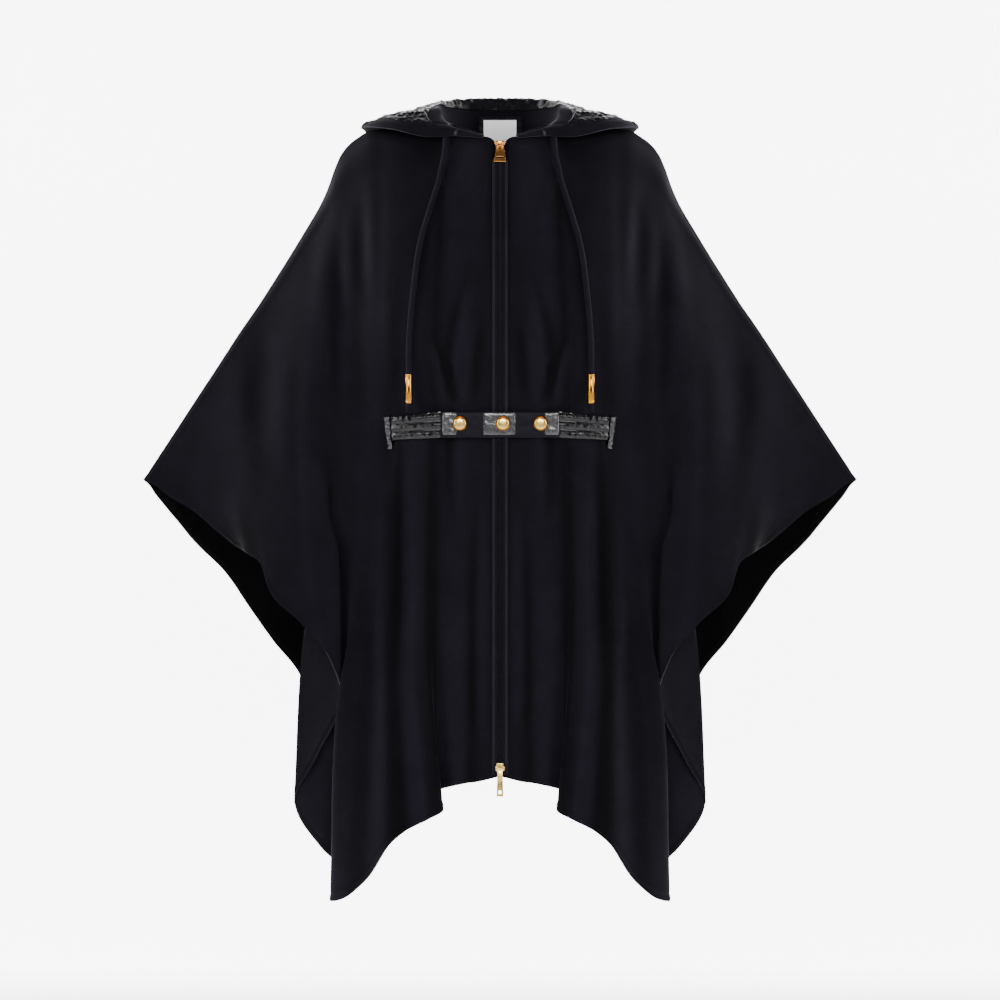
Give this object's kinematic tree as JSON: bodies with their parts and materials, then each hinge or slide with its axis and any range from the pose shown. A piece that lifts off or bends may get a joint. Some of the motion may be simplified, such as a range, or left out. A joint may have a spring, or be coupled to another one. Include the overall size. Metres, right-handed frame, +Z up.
{
  "type": "hooded cape",
  "caption": "Near-black wool cape, worn form: hood folded back, zip front with metal pull tabs, elasticated front belt with domed snaps and corded neck.",
  "frame": {"origin": "middle of the wearer's neck at the height where the cape hangs from the shoulders", "axes": "+Z up, +X to the right of someone who faces the front, -Y out of the zip front"},
  "size_m": [0.892, 0.3502, 0.9997],
  "materials": {
    "wool": "brushed wool coating, near black",
    "nylon": "shiny woven nylon, black",
    "zip_tape": "woven tape, black",
    "brass": "polished pale brass",
    "copper_brass": "polished reddish brass",
    "label_white": "plain white woven label",
    "cord": "round braided cord, black"
  },
  "bodies": {
    "cape": {"front_left": "wool", "front_right": "wool", "back": "wool", "hood_left": "wool", "hood_right": "wool", "zip_welt_left": "wool", "zip_welt_right": "wool", "hood_lining_left": "nylon", "hood_lining_right": "nylon", "label_patch": "nylon", "belt_centre": "nylon", "belt_elastic_left": "nylon", "belt_elastic_right": "nylon", "belt_inner": "nylon", "slit_welt_left": "nylon", "slit_welt_right": "nylon", "zip_tape_left": "zip_tape", "zip_tape_right": "zip_tape", "snap_left": "brass", "snap_middle": "brass", "snap_right": "brass", "cord_tip_left": "brass", "cord_tip_right": "brass", "top_slider": "copper_brass", "bottom_slider": "copper_brass", "label": "label_white", "drawcord_left": "cord", "drawcord_right": "cord", "cord_end_left": "cord", "cord_end_right": "cord"},
    "top_pull": {"top_pull": "copper_brass"},
    "bottom_pull": {"bottom_pull": "copper_brass"}
  },
  "joints": [
    {"name": "top_pull_swing", "type": "hinge", "parent": "cape", "child": "top_pull", "pos_m": [0, -0.0848, -0.0115], "axis": [-1, 0, 0], "range_deg": [0, 110]},
    {"name": "bottom_pull_swing", "type": "hinge", "parent": "cape", "child": "bottom_pull", "pos_m": [0, -0.14414, -0.786], "axis": [-1, 0, 0], "range_deg": [0, 110]}
  ]
}
